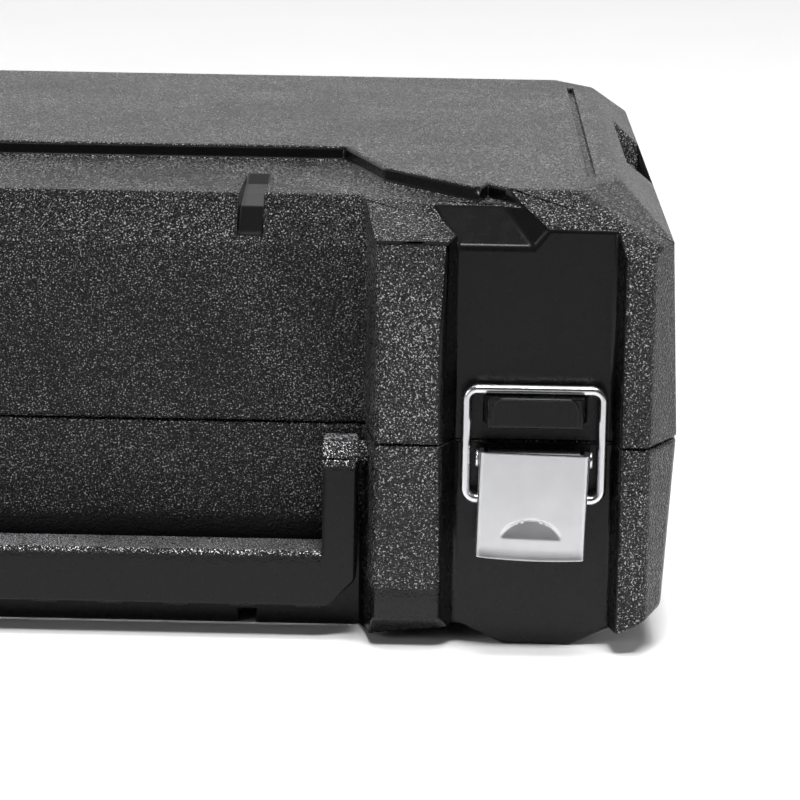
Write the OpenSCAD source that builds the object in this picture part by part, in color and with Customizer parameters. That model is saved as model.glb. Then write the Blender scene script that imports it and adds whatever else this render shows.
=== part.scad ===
// Socket wrench set in a hard moulded carrying case, lying flat and closed.
// Part frame: X across the case, +Y to the hinges, +Z up, origin on the table under the middle.
// The modules draw in case coordinates: X from the middle, Y from the front plane, Z from the seam.
// at_case() moves them to the part frame.

/* [Case] */
// Width over the side walls at the seam
case_w = 340; // [336:1:344]
// Depth from the front plane to the rear wall
case_d = 280; // [278:1:284]
// Height of the base, from its feet to the seam
base_h = 54; // [54:1:56]
// Height of the lid, from the seam to its raised plateau
lid_h = 62; // [62:0.5:63]
// Thickness of the outer walls
wall = 3; // [2.5:0.5:3]
// Gap between lid and base at the seam
seam_gap = 0.4; // [0.3:0.1:0.6]

/* [Case front] */
// Half width of the central panel behind the handle
panel_half = 90; // [90:0.5:91]
// Depth of the central panel behind the front plane
panel_y = 24; // [24:0.5:25]
// Width of a pilaster's front face
pilaster_w = 16; // [15:0.5:17]
// Depth of the latch bays behind the front plane
bay_y = 9; // [9:0.5:9.5]
// Width of a latch bay
bay_w = 40; // [39.5:0.5:40.5]

/* [Latches] */
// Distance from the middle of the case to a latch
latch_x = 133.5; // [133:0.5:134]
// Width of the lever plate
lever_w = 27.6; // [26:0.2:28]
// Diameter of the bail wire
wire_d = 2.5; // [2:0.1:2.6]

/* [Handle] */
// Overall width of the handle
handle_w = 177.5; // [175:0.5:177.5]
// Thickness of the handle, front to back
handle_t = 13; // [11:0.5:13]
// Height of the grip bar
grip_h = 14.5; // [12:0.5:15]

/* [Tools] */
// Side of the square drive
drive = 12.7; // [12.7:0.1:12.7]
// Hexagon sizes of the shallow sockets in the middle row
small_sizes = [10, 12, 13, 14, 15, 17];
// Hexagon sizes of the shallow sockets in the rear row
large_sizes = [19, 21, 22, 24, 27, 30];
// Hexagon sizes of the deep sockets
deep_sizes = [17, 19, 22];
// Length of the long extension and of the sliding bar
long_bar = 250; // [245:1:252]
// Length of the short extension
short_bar = 125; // [120:1:130]

/* [Hidden] */

$fn = 48;
far = 400;
front_y = -141;
seam_z = base_h;

// Plan of the case, right half, from the middle of the front to the rear
pilaster_x = panel_half + 3.5;
bay_x0 = latch_x - bay_w / 2;
bay_x1 = latch_x + bay_w / 2;
strip_x = bay_x1 + 1.5;
corner_x = 162;
corner_y = 15;
side_x = case_w / 2;
rear_corner = 16;
right_plan = [
  [panel_half, panel_y], [pilaster_x, 0], [pilaster_x + pilaster_w, 0], [bay_x0, bay_y],
  [bay_x1, bay_y], [strip_x, 0], [corner_x, 0], [side_x, corner_y],
  [side_x, case_d - rear_corner], [side_x - 10, case_d]];

// Heights in the lid, above the seam
side_top_z = 51;
side_top_x = side_x - 2.5;
plateau_x = 155;
plateau_y = 22;
band_z = lid_h - 3.7;
bay_top_z = 54;
valley_z = 49.4;
panel_top_z = 46.1;
pilaster_fold_z = 26;
pilaster_top_z = 50.7;

// Where the raised plateau of the lid begins, right half, from the middle outwards
plateau_edge = [[0, 93], [82, 93], [93.4, 55.4], [118.5, 22.5], [120.6, 31], [125, 24]];

// Recess in the side of the lid: its inner wall, its floor and the floor's two ends
recess_x = 162.5;
recess_z = 44;
recess_y0 = 114.6;
recess_y1 = 180;

// Grooves for a strap over the front edge
strap_x = 60;
strap_w = 6.4;

// Inside of the case
floor_z = -base_h + wall;
roof_z = band_z - wall;
plateau_roof_z = lid_h - wall;
deck_z = -1;
deck_t = 2.2;
skin = 1.8;
liner_z = 25;
liner_t = 2;

// Hinge at the rear of the case
hinge_y = case_d + 1;
hinge_r = 3.5;
hinge_pin_r = 1.8;
hinge_x = 100;
knuckle_w = 14;

// Handle
handle_half = handle_w / 2;
leg_w = 8.75;
handle_y0 = 9.5;
handle_y1 = handle_y0 + handle_t;
handle_top = -2;
handle_bottom = -45;
pivot_y = 18;
pivot_z = -6;
pivot_r = 3;

// Latch: the lever turns on pin p, the bail turns in the lever at b
lever_half = lever_w / 2;
lever_t = 1.2;
lever_y = -1.5;
lever_top = -1.5;
lever_end = -28.3;
p_y = 3.2;
p_z = -3.5;
pin_r = 1.5;
b_y = 4.6;
b_z = -14.3;
bail_top = 14;
bail_half = 17.15;
bail_bend = 4;
wire_r = wire_d / 2;
throw_r = norm([b_y - p_y, b_z - p_z]);
hook_half = 12;
hook_y = -0.5;
hook_z = 5;

// Ratchet
ratchet_x = -116;
ratchet_y = 62;
ratchet_z = 3;
ratchet_l = 238;
head_r = 18;
gear_r = 13;
grip_r = 14.8;
pawl_x = 20;

// Rows of tools
t_bar_y = 101;
t_bar_z = 3;
t_bar_x = -15;
extension_y = 134;
extension_z = 1;
deep_y = 168;
deep_l = 78;
deep_x0 = -148;
deep_pitch = 86;
small_y = 203;
large_y = 243;
row_x0 = -150;
socket_base = -26;
short_x = 143;
short_y = 88;
tray_x = 120;
tray_y1 = 83;
tray_y2 = 149;
tray_y3 = 187.3;
plug_x = 50;
adapter_x = 92;
trough_r = 14.6;
trough_slope = 0.0317;
trough_end = 96;
loose_dividers = [31.3, 71.5];

function reversed(list) = [for (i = [len(list) - 1 : -1 : 0]) list[i]];
function left_of(list) = [for (p = reversed(list)) [-p.x, p.y]];
function closed_plan(list) = concat(list, left_of(list));
function socket_od(s) = max(22, 1.32 * s + 2.4);
function socket_h(s) = s < 20 ? 38 : 44;
function run(list, i) = i == 0 ? 0 : run(list, i - 1) + socket_od(list[i - 1]) + 8;
function row_x(list, i) = row_x0 + run(list, i) + socket_od(list[i]) / 2;

module at_case() {
  translate([0, front_y, seam_z]) children();
}

module both_sides() {
  children();
  mirror([1, 0, 0]) children();
}

// A profile of [y, z] points, extruded from x0 to x1
module along_x(points, x0, x1) {
  translate([x0, 0, 0]) rotate([90, 0, 90]) linear_extrude(x1 - x0) polygon(points);
}

// A profile of [x, z] points, extruded from y0 to y1
module along_y(points, y0, y1) {
  translate([0, y1, 0]) rotate([90, 0, 0]) linear_extrude(y1 - y0) polygon(points);
}

module rod_x(r, x0, x1, y = 0, z = 0) {
  translate([x0, y, z]) rotate([0, 90, 0]) cylinder(h = x1 - x0, r = r);
}

module rod_y(r, y0, y1, x = 0, z = 0) {
  translate([x, y1, z]) rotate([90, 0, 0]) cylinder(h = y1 - y0, r = r);
}

module block(x0, x1, y0, y1, z0, z1) {
  translate([x0, y0, z0]) cube([x1 - x0, y1 - y0, z1 - z0]);
}

// Everything on the side of the plane through a, b and c that their normal points to
module half_space(a, b, c) {
  n = cross(b - a, c - a);
  translate(a) rotate([0, acos(n.z / norm(n)), atan2(n.y, n.x)])
    translate([-far / 2, -far / 2, 0]) cube(far);
}

// Outside of the lid

module lid_hull() {
  side_profile = [
    [-1, 0], [-1, bay_top_z - (bay_y + 1) * (lid_h - bay_top_z) / (plateau_y - bay_y)],
    [plateau_y, lid_h], [case_d - plateau_y, lid_h], [case_d, side_top_z], [case_d + 1, 0]];
  front_profile = [
    [side_x, 0], [side_top_x, side_top_z], [plateau_x, lid_h],
    [-plateau_x, lid_h], [-side_top_x, side_top_z], [-side_x, 0]];
  intersection() {
    linear_extrude(lid_h) polygon(closed_plan(right_plan));
    along_x(side_profile, -far / 2, far / 2);
    along_y(front_profile, -1, case_d + 1);
  }
}

// The big facet at each corner, front and rear
module corner_facets() {
  inner = plateau_x - 10.6;
  both_sides() {
    half_space([corner_x, 0, side_top_z], [side_x, corner_y, side_top_z],
               [inner, plateau_y, lid_h]);
    half_space([side_x, case_d - rear_corner, side_top_z], [side_x - 10, case_d, side_top_z],
               [inner, case_d - plateau_y, lid_h]);
  }
}

// The lower band in front of the plateau, across the whole front
module band_cut() {
  edge = concat(plateau_edge, [[134, bay_y], [134, -1]]);
  translate([0, 0, band_z]) linear_extrude(far) polygon(closed_plan(edge));
}

// The facet over the central panel
module panel_chamfer_cut() {
  slant = (pilaster_x - panel_half) / panel_y;
  end_y = panel_y + 11;
  intersection() {
    along_x([[panel_y - 2, panel_top_z - 2.4], [panel_y + 10, band_z + 0.9],
             [panel_y - 2, band_z + 0.9]], -far / 2, far / 2);
    linear_extrude(far) polygon(closed_plan([
      [0, -1], [pilaster_x + slant, -1], [pilaster_x - slant * end_y, end_y], [0, end_y]]));
  }
}

// The folded front and the shallow shoulder of a pilaster
module pilaster_cut() {
  x0 = panel_half;
  shoulder = [[x0, -1], [bay_x0, -1], [bay_x0, bay_y], [101.3, 28], [101.3, 34], [x0, 34]];
  along_x([[-1, pilaster_fold_z], [0, pilaster_fold_z], [3, pilaster_top_z],
           [3, lid_h], [-1, lid_h]], x0, bay_x0);
  intersection() {
    linear_extrude(far) polygon(shoulder);
    half_space([0, 3, pilaster_top_z], [1, 3, pilaster_top_z], [0, 26, band_z]);
  }
}

// The smooth channel that runs off the band and out over the latch bay
module valley_cut() {
  region = [[101.3, 28], [bay_x0, bay_y], [bay_x0, -1], [140, -1], [140, 9], [120.6, 31]];
  intersection() {
    linear_extrude(far) polygon(region);
    half_space([0, bay_y, valley_z], [1, bay_y, valley_z], [0, 20, band_z]);
    half_space([132.5, bay_y, valley_z], [136, bay_y, bay_top_z], [125, 20, band_z]);
  }
}

module strap_groove() {
  translate([strap_x, 0, 0])
    along_x([[panel_y - 4, 47], [panel_y + 4, 49], [panel_y + 14, 54], [panel_y + 36, 56.4],
             [panel_y + 44, band_z + 0.2], [panel_y + 44, lid_h], [panel_y - 4, lid_h]],
            -strap_w / 2, strap_w / 2);
}

// The hook that the bail lies on, with a groove on the arc that the wire swings along
module hook() {
  arc_z = bail_top - (b_z - p_z);
  plan = [[-hook_half - 1.6, bay_y + 1], [-hook_half - 1, bay_y], [-hook_half, hook_y],
          [hook_half, hook_y], [hook_half + 1, bay_y], [hook_half + 1.6, bay_y + 1]];
  difference() {
    translate([latch_x, 0, hook_z]) linear_extrude(bail_top + 0.6 - hook_z) polygon(plan);
    rod_x(throw_r + wire_r + 0.2, latch_x - 20, latch_x + 20, p_y, arc_z);
  }
}

module knuckle(x0, x1, up) {
  rod_x(hinge_r, x0, x1, hinge_y, 0);
  if (up)
    block(x0, x1, case_d - 2, hinge_y + 1.5, 0, 6);
  else
    block(x0, x1, case_d - 2, hinge_y + 1.5, -6, 0);
}

// Room round the hinge axis for the other half's knuckles
module knuckle_room(x0, x1) {
  rod_x(hinge_r + 0.5, x0 - 0.4, x1 + 0.4, hinge_y, 0);
}

module lid_cavity() {
  middle = [[panel_y + wall + 1, -1], [panel_y + wall + 1, 40], [panel_y + 18, roof_z],
            [case_d - 12, roof_z], [case_d - wall, 44], [case_d - wall, -1]];
  sides = [[bay_y + wall, -1], [bay_y + wall, 43], [bay_y + 18, roof_z],
           [case_d - 12, roof_z], [case_d - wall, 44], [case_d - wall, -1]];
  cavity_profile = [[side_x - wall, -1], [side_x - wall, 5], [side_top_x - wall, side_top_z - 4],
                    [plateau_x - 5, roof_z + 1], [-plateau_x + 5, roof_z + 1],
                    [-side_top_x + wall, side_top_z - 4], [-side_x + wall, 5],
                    [-side_x + wall, -1]];
  difference() {
    intersection() {
      union() {
        along_x(middle, -pilaster_x - wall, pilaster_x + wall);
        both_sides() along_x(sides, pilaster_x - 2, side_x - wall);
      }
      linear_extrude(far, center = true) polygon(cavity_plan());
      along_y(cavity_profile, 0, case_d);
    }
    both_sides() {
      block(strap_x - strap_w, strap_x + strap_w, panel_y, panel_y + 50, roof_z - 3.2,
            roof_z + 1);
      block(recess_x - 5.7, side_x, recess_y0 - 16, recess_y1 + 16, recess_z - wall - 0.2, far);
    }
  }
  block(-plateau_x + 10, plateau_x - 10, 98, case_d - plateau_y - 4, 40, plateau_roof_z);
}

function cavity_plan(inset = 0) = closed_plan([
  [panel_half + wall + 0.5, panel_y + wall + 1 + inset],
  [panel_half + wall + 8.5 + inset, bay_y + wall + inset],
  [bay_x1 + 1 - inset, bay_y + wall + inset],
  [side_x - wall - inset, corner_y + 12],
  [side_x - wall - inset, case_d - rear_corner - 2],
  [side_x - 14 - inset, case_d - wall - inset]]);

module lid_shell() {
  color("#1d1d1f") at_case() difference() {
    union() {
      difference() {
        translate([0, 0, seam_gap / 2]) lid_hull();
        corner_facets();
        band_cut();
        panel_chamfer_cut();
        both_sides() {
          pilaster_cut();
          valley_cut();
          strap_groove();
          plateau_groove();
          side_recess();
        }
        lid_cavity();
        both_sides() for (s = [-1, 1])
          knuckle_room(hinge_x + s * knuckle_w - knuckle_w / 2,
                       hinge_x + s * knuckle_w + knuckle_w / 2);
      }
      both_sides() {
        hook();
        knuckle(hinge_x - knuckle_w / 2, hinge_x + knuckle_w / 2, true);
      }
    }
    both_sides() rod_x(hinge_pin_r + 0.05, hinge_x - 30, hinge_x + 30, hinge_y, 0);
  }
}

// The recess for a hand in each side of the lid, open upwards, with slanted ends
module side_recess() {
  high = lid_h + 3;
  rise = high - recess_z;
  end = rise * 0.894;
  lean = rise * 0.186;
  intersection() {
    along_x([[recess_y0 - end, high], [recess_y0, recess_z], [recess_y1, recess_z],
             [recess_y1 + end, high]], plateau_x - 5, side_x + 1);
    along_y([[recess_x, recess_z], [recess_x - lean, high], [side_x + 1, high],
             [side_x + 1, recess_z]], 0, case_d);
  }
}

// A fine straight groove near each side of the plateau
module plateau_groove() {
  block(147, 149, 45, case_d - 45, lid_h - 1.2, lid_h + 1);
}

// Outside of the base

module base_hull() {
  profile = [[side_x, 0], [side_x - 3, -43], [144, -base_h], [-144, -base_h],
             [-side_x + 3, -43], [-side_x, 0]];
  intersection() {
    translate([0, 0, -base_h]) linear_extrude(base_h) polygon(closed_plan(right_plan));
    along_y(profile, -1, case_d + 1);
  }
}

// The gap between a pilaster and the corner foot, and the pilaster's leaning front
module base_front_cuts() {
  along_y([[86, -base_h - 1], [88, -base_h], [93, -51.6], [112, -48.7], [116, -48.7],
           [127, -base_h], [128, -base_h - 1]], -1, 30);
  along_x([[-1, 1], [0, 0], [3, -45.8], [12, -base_h - 0.2], [12, -base_h - 1],
           [-1, -base_h - 1]], panel_half, bay_x0 - 1);
}

module skirt_notch() {
  block(strap_x - 2.1, strap_x + 2.1, panel_y - 1, panel_y + 12, -base_h - 1, -base_h + 3.3);
}

module base_cavity() {
  low = floor_z;
  profile = [[side_x - wall, 1], [side_x - wall, -4], [side_x - wall - 3, -41], [142, low],
             [-142, low], [-side_x + wall + 3, -41], [-side_x + wall, -4], [-side_x + wall, 1]];
  intersection() {
    union() {
      block(-pilaster_x - wall, pilaster_x + wall, panel_y + wall + 1, case_d - wall, low, 1);
      both_sides() {
        block(pilaster_x - 2, side_x, bay_y + wall, case_d - wall, -45, 1);
        block(pilaster_x - 2, side_x, 34, case_d - wall, low, 1);
      }
    }
    linear_extrude(far, center = true) polygon(cavity_plan());
    along_y(profile, 0, case_d);
  }
}

// The moulded block that carries the lever's pin
module pin_block() {
  difference() {
    union() {
      block(latch_x - 11.5, latch_x + 11.5, p_y + 1.5, bay_y + 1, -9, -1.8);
      block(latch_x - 11.5, latch_x + 11.5, p_y, bay_y, p_z - 2.7, p_z + 1);
      rod_x(2.7, latch_x - 11.5, latch_x + 11.5, p_y, p_z);
    }
    rod_x(pin_r, latch_x - 20, latch_x + 20, p_y, p_z);
  }
}

module base_shell() {
  color("#1b1b1d") at_case() difference() {
    union() {
      difference() {
        translate([0, 0, -seam_gap / 2]) base_hull_trimmed();
        base_cavity();
        both_sides() {
          base_front_cuts();
          skirt_notch();
          knuckle_room(hinge_x - knuckle_w / 2, hinge_x + knuckle_w / 2);
          rod_x(pivot_r + 0.06, panel_half - 2, pilaster_x + 2.5, pivot_y, pivot_z);
        }
      }
      both_sides() {
        pin_block();
        for (s = [-1, 1])
          knuckle(hinge_x + s * knuckle_w - knuckle_w / 2 + 0.4 * (s + 1) / 2,
                  hinge_x + s * knuckle_w + knuckle_w / 2 - 0.4 * (1 - s) / 2, false);
      }
    }
    both_sides() rod_x(hinge_pin_r, hinge_x - 30, hinge_x + 30, hinge_y, 0);
  }
}

// The base reaches down to the table and up to half the seam gap below the seam
module base_hull_trimmed() {
  translate([0, 0, seam_gap / 2]) intersection() {
    base_hull();
    block(-far / 2, far / 2, -1, far, -base_h, -seam_gap / 2);
  }
}

// Pockets of the trays, each drawn grown by g for its outside

module ratchet_pocket(g) {
  grip_low = ratchet_z - grip_r;
  low = ratchet_z - 23 - g;
  translate([ratchet_x, ratchet_y, low]) cylinder(h = -low, r = head_r + 1 + g);
  block(ratchet_x, ratchet_x + 60, ratchet_y - 13 - g, ratchet_y + 13 + g, grip_low - g, 0);
  block(ratchet_x + 50 - g, ratchet_x + ratchet_l + 4 + g, ratchet_y - 17 - g, ratchet_y + 17 + g,
        grip_low - g, 0);
}

module t_bar_pocket(g) {
  half = long_bar / 2 + 3 + g;
  run_half = long_bar / 2 - 6 + g;
  block(t_bar_x - half, t_bar_x + half, t_bar_y - 12 - g, t_bar_y + 12 + g, t_bar_z - 8 - g, 0);
  block(t_bar_x - run_half, t_bar_x + run_half, t_bar_y - 15.5 - g, t_bar_y + 15.5 + g,
        t_bar_z - 27 - g, 0);
}

module extension_pocket(g) {
  half = long_bar / 2 + 3 + g;
  block(t_bar_x - half, t_bar_x + half, extension_y - 13 - g, extension_y + 13 + g,
        extension_z - 11 - g, 0);
}

module short_pocket(g) {
  block(short_x - 14 - g, short_x + 14 + g, short_y - 3 - g, short_y + short_bar + 3 + g,
        extension_z - 11 - g, 0);
}

module deep_pocket(g) {
  r = socket_od(deep_sizes[2]) / 2;
  x1 = deep_x0 + 2 * deep_pitch + deep_l;
  block(deep_x0 - 3 - g, x1 + 3 + g, deep_y - r - 1.2 - g, deep_y + r + 1.2 + g, -r - g, 0);
}

// Straight trough for the middle row of sockets, and a tapered one for the rear row
module socket_pockets(g) {
  low = socket_base - g;
  small_half = 13.3 + g;
  start = row_x0 - 2 - g;
  end = trough_end + g;
  near = trough_half(start) + g;
  wide = trough_half(end) + g;
  block(start, adapter_x + 14 + g, small_y - small_half, small_y + small_half, low, 0);
  translate([0, large_y, low]) linear_extrude(-low)
    polygon([[start, -near], [end, -wide], [end, wide], [start, near]]);
}

// Half width of the tapered trough at x
function trough_half(x) = trough_r + trough_slope * (x - row_x0);

// The deck between two widths and two depths, for one moulding of the tray
module deck(x0, x1, y0, y1) {
  intersection() {
    translate([0, 0, deck_z - deck_t]) linear_extrude(deck_t) polygon(cavity_plan(0.05));
    block(x0, x1, y0, y1, -far / 2, far / 2);
  }
}

// Cuts the outside of the pockets off at the top of the deck
module below_deck() {
  intersection() {
    children();
    block(-far / 2, far / 2, 0, far, -far / 2, deck_z);
  }
}

module tray_front() {
  color("#2b2c2f") at_case() difference() {
    union() {
      deck(-far / 2, far / 2, 0, tray_y1);
      below_deck() ratchet_pocket(skin);
    }
    ratchet_pocket(0);
  }
}

module tray_bars() {
  color("#2b2c2f") at_case() difference() {
    union() {
      deck(-far / 2, tray_x, tray_y1, tray_y2);
      below_deck() {
        t_bar_pocket(skin);
        extension_pocket(skin);
      }
    }
    t_bar_pocket(0);
    extension_pocket(0);
  }
}

module tray_deep() {
  color("#2b2c2f") at_case() difference() {
    union() {
      deck(-far / 2, tray_x, tray_y2, tray_y3);
      below_deck() deep_pocket(skin);
    }
    deep_pocket(0);
  }
}

module tray_sockets() {
  color("#2b2c2f") at_case() difference() {
    union() {
      deck(-far / 2, tray_x, tray_y3, far);
      below_deck() socket_pockets(skin);
    }
    socket_pockets(0);
  }
}

module tray_side() {
  color("#2b2c2f") at_case() difference() {
    union() {
      deck(tray_x, far / 2, tray_y1, far);
      below_deck() short_pocket(skin);
    }
    short_pocket(0);
  }
}

// Loose plates that stand in the troughs between the tools
module tray_dividers() {
  deep_half = socket_od(deep_sizes[2]) / 2 + 1.15;
  plate = 2;
  color("#3a3b3f") at_case() {
    for (i = [1, 2])
      divider(deep_x0 + i * deep_pitch - 4, deep_y, deep_half, -deep_half + 1.15, plate);
    for (i = [1 : 5])
      divider((row_x(small_sizes, i) + row_x(small_sizes, i - 1)) / 2, small_y, 13.25,
              socket_base, plate);
    for (x = loose_dividers) divider(x, small_y, 13.25, socket_base, plate);
    for (i = [1 : 5]) {
      x = row_x(large_sizes, i) - socket_od(large_sizes[i]) / 2 - 4;
      divider(x, large_y, trough_half(x) - 0.1, socket_base, plate);
    }
  }
}

module divider(x, y, half, low, thick) {
  translate([x - thick / 2, y, 0]) rotate([90, 0, 90]) linear_extrude(thick)
    polygon([[-half, low], [half, low], [half, -6], [half - 4, -2.5], [4 - half, -2.5],
             [-half, -6]]);
}

module lid_liner() {
  color("#2b2c2f") at_case() difference() {
    translate([0, 0, -deck_z]) linear_extrude(liner_z + liner_t + deck_z)
      polygon(cavity_plan(0.05));
    translate([0, 0, -1]) linear_extrude(liner_z + 1) polygon(cavity_plan(12));
    difference() {
      translate([0, 0, -deck_z + deck_t]) linear_extrude(far) polygon(cavity_plan(-1));
      linear_extrude(liner_z + liner_t) polygon(cavity_plan(12 - liner_t));
    }
  }
}

module hinge_pins() {
  half = 1.5 * knuckle_w;
  color("silver") at_case() both_sides()
    rod_x(hinge_pin_r, hinge_x - half, hinge_x + half, hinge_y, 0);
}

// Handle

module handle_outline() {
  inner = handle_half - leg_w;
  corner = 7;
  linear_extrude(handle_t) polygon([
    [-handle_half, handle_top], [-inner, handle_top], [-inner, handle_bottom + grip_h],
    [inner, handle_bottom + grip_h], [inner, handle_top], [handle_half, handle_top],
    [handle_half, handle_bottom + corner], [handle_half - corner, handle_bottom],
    [-handle_half + corner, handle_bottom], [-handle_half, handle_bottom + corner]]);
}

module carry_handle() {
  arc = [for (a = [180 : -15 : 90])
    [handle_y0 + 5 + 5 * cos(a), handle_top - 5 + 5 * sin(a)]];
  side = concat([[handle_y0, -far]], arc, [[handle_y1, handle_top], [handle_y1, -far]]);
  color("#19191b") at_case() {
    intersection() {
      translate([0, handle_y1, 0]) rotate([90, 0, 0]) handle_outline();
      along_x(side, -far / 2, far / 2);
    }
    for (i = [0 : 4]) both_sides()
      block(8.5 + 17 * i - 3.25, 8.5 + 17 * i + 3.25, handle_y0 + 1.5, handle_y1 - 1.5,
            handle_bottom - 0.9, handle_bottom + 1);
    both_sides() rod_x(pivot_r, handle_half - 2, pilaster_x + 2, pivot_y, pivot_z);
  }
}

// Latches, drawn at the middle of their bay

module lever() {
  flange = [[lever_y, lever_top], [p_y + 1.3, lever_top], [p_y + 3, lever_top - 2.5],
            [p_y + 3, b_z - 1.7], [1, lever_end + 2], [lever_y, lever_end]];
  difference() {
    union() {
      block(-lever_half, lever_half, lever_y, lever_y + lever_t, lever_end, lever_top);
      along_x(flange, lever_half - lever_t, lever_half);
      along_x(flange, -lever_half, -lever_half + lever_t);
      along_x([[lever_y, lever_end + 3], [lever_y + lever_t, lever_end + 3],
               [lever_y - 0.2, lever_end - 0.6], [lever_y - 1, lever_end - 0.2]],
              -lever_half, lever_half);
    }
    rod_x(pin_r + 0.05, -far / 2, far / 2, p_y, p_z);
    rod_x(wire_r + 0.05, -far / 2, far / 2, b_y, b_z);
    intersection() {
      translate([0, lever_y - 45.9, lever_end + 1.3]) sphere(r = 46.7, $fn = 96);
      block(-9, 9, -9, 2, lever_end + 5.1, lever_end + 12);
    }
  }
}

module bail_bend_piece(x, z, quarter) {
  translate([x, b_y, z]) rotate([90, 0, 0]) rotate([0, 0, quarter])
    rotate_extrude(angle = 90) translate([bail_bend - wire_r, 0]) circle(r = wire_r, $fn = 24);
}

module bail() {
  c = bail_bend - wire_r;
  leg = bail_half - c;
  rod_x(wire_r, -leg, leg, b_y, bail_top);
  both_sides() {
    bail_bend_piece(leg, bail_top - c, 0);
    translate([bail_half, b_y, b_z + c]) cylinder(h = bail_top - b_z - 2 * c, r = wire_r);
    bail_bend_piece(leg, b_z + c, 270);
    rod_x(wire_r, lever_half - lever_t - 0.8, leg, b_y, b_z);
  }
}

module pivot_pin() {
  rod_x(pin_r, -lever_half, lever_half, p_y, p_z);
  both_sides() rod_x(2.3, lever_half + 0.1, lever_half + 0.9, p_y, p_z);
  both_sides() rod_x(pin_r, lever_half - 1, lever_half + 0.5, p_y, p_z);
}

// Socket standing on its drive end, hexagon upwards
module socket_shape(s, h, od) {
  r = od / 2;
  base_r = min(r, 12);
  neck = h * 0.42;
  difference() {
    rotate_extrude() polygon([
      [0, 0], [base_r - 0.8, 0], [base_r, 0.8], [base_r, neck - (r - base_r)], [r, neck],
      [r, h - 1], [r - 1, h], [0, h]]);
    translate([0, 0, h - min(h * 0.45, 0.8 * s + 3)]) cylinder(h = h, r = s / 2 / cos(30), $fn = 6);
    translate([0, 0, 15]) cylinder(h = h, r = min(s, drive) * 0.42);
    translate([-drive / 2, -drive / 2, -1]) cube([drive, drive, 16.5]);
    translate([0, 0, h - 1]) cylinder(h = 3, r1 = s / 2 / cos(30) - 0.6, r2 = s / 2 / cos(30) + 3);
  }
}

module shallow_socket(list, i, y) {
  s = list[i];
  color("#c9cbce") at_case() translate([row_x(list, i), y, socket_base])
    socket_shape(s, socket_h(s), socket_od(s));
}

module deep_socket(i) {
  s = deep_sizes[i];
  color("#c9cbce") at_case() translate([deep_x0 + i * deep_pitch, deep_y, 0])
    rotate([0, 90, 0]) socket_shape(s, deep_l, socket_od(s));
}

module plug_socket() {
  color("#c9cbce") at_case() translate([plug_x, small_y, socket_base]) difference() {
    socket_shape(16, 46, 25);
    translate([0, 0, 18]) cylinder(h = 12, r = 9.6);
  }
}

module plug_socket_insert() {
  color("#303030") at_case() translate([plug_x, small_y, socket_base + 18]) difference() {
    cylinder(h = 12, r = 9.6);
    translate([0, 0, -1]) cylinder(h = 14, r = 6);
  }
}

module drive_adapter() {
  square_small = 9.5;
  color("#c9cbce") at_case() translate([adapter_x, small_y, socket_base]) difference() {
    union() {
      rotate_extrude() polygon([[0, 0], [10.2, 0], [11, 0.8], [11, 22], [8, 26], [0, 26]]);
      translate([-square_small / 2, -square_small / 2, 25]) cube([square_small, square_small, 12]);
    }
    translate([-drive / 2, -drive / 2, -1]) cube([drive, drive, 16.5]);
  }
}

// Ratchet, drawn round its drive axis with the handle along +X

module at_ratchet() {
  at_case() translate([ratchet_x, ratchet_y, ratchet_z]) children();
}

module ratchet_handle() {
  neck = [[6, -13], [22, -12.5], [40, -8], [60, -7], [60, 7], [40, 8], [22, 12.5], [6, 13]];
  color("#c4c6c9") at_ratchet() difference() {
    union() {
      translate([0, 0, -8]) cylinder(h = 16, r = head_r);
      translate([0, 0, -7]) linear_extrude(14) polygon(neck);
      rod_x(6.5, 55, ratchet_l - 6, 0, 0);
      rod_x(12, 118, 121, 0, 0);
    }
    translate([0, 0, -6]) cylinder(h = 11.4, r = gear_r + 0.4);
    translate([0, 0, -9]) cylinder(h = 5, r = 10.05);
    translate([0, 0, 5.4]) cylinder(h = 4, r = 15.5);
    translate([pawl_x, 0, -5]) cylinder(h = 14, r = 5.5);
    block(8, pawl_x, -4.5, 4.5, -5, 5.4);
  }
}

module ratchet_grip() {
  color("#b3261e") at_ratchet() difference() {
    rotate([0, 90, 0]) rotate_extrude() polygon([
      [0, 121], [13, 121], [grip_r, 124], [grip_r, 134], [13, 142], [13, 205], [grip_r, 216],
      [grip_r, ratchet_l - 4], [11, ratchet_l], [0, ratchet_l]]);
    rod_x(6.5, 110, ratchet_l - 6, 0, 0);
  }
}

module ratchet_gear() {
  teeth = 36;
  outline = [for (i = [0 : 2 * teeth - 1])
    (i % 2 == 0 ? gear_r : gear_r - 1.1) * [cos(180 * i / teeth), sin(180 * i / teeth)]];
  color("#8d9094") at_ratchet() difference() {
    union() {
      translate([0, 0, -5.8]) linear_extrude(11) polygon(outline);
      translate([0, 0, -8]) cylinder(h = 4, r = 10);
      translate([-6.3, -6.3, -20]) cube([12.6, 12.6, 14]);
    }
    translate([0, 0, -14]) cylinder(h = 30, r = 2.65);
    rod_y(1.9, -8, 0, 0, -14.5);
  }
}

module ratchet_pawl() {
  color("#77797d") at_ratchet() translate([pawl_x, 0, 0]) {
    difference() {
      translate([0, 0, -4.6]) cylinder(h = 9.6, r = 5.2);
      block(-9, -4.2, -1.6, 1.6, -9, 9);
      translate([0, 0, -9]) cylinder(h = 20, r = 2.2);
    }
  }
}

module ratchet_lever() {
  color("#232325") at_ratchet() translate([pawl_x, 0, 0]) {
    translate([0, 0, -4.6]) cylinder(h = 13.4, r = 2.2);
    translate([0, 0, 8.3]) cylinder(h = 3, r = 5.6);
    translate([0, 0, 8.3]) linear_extrude(3) polygon([[2, -5], [13, -2.6], [13, 2.6], [2, 5]]);
  }
}

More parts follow.
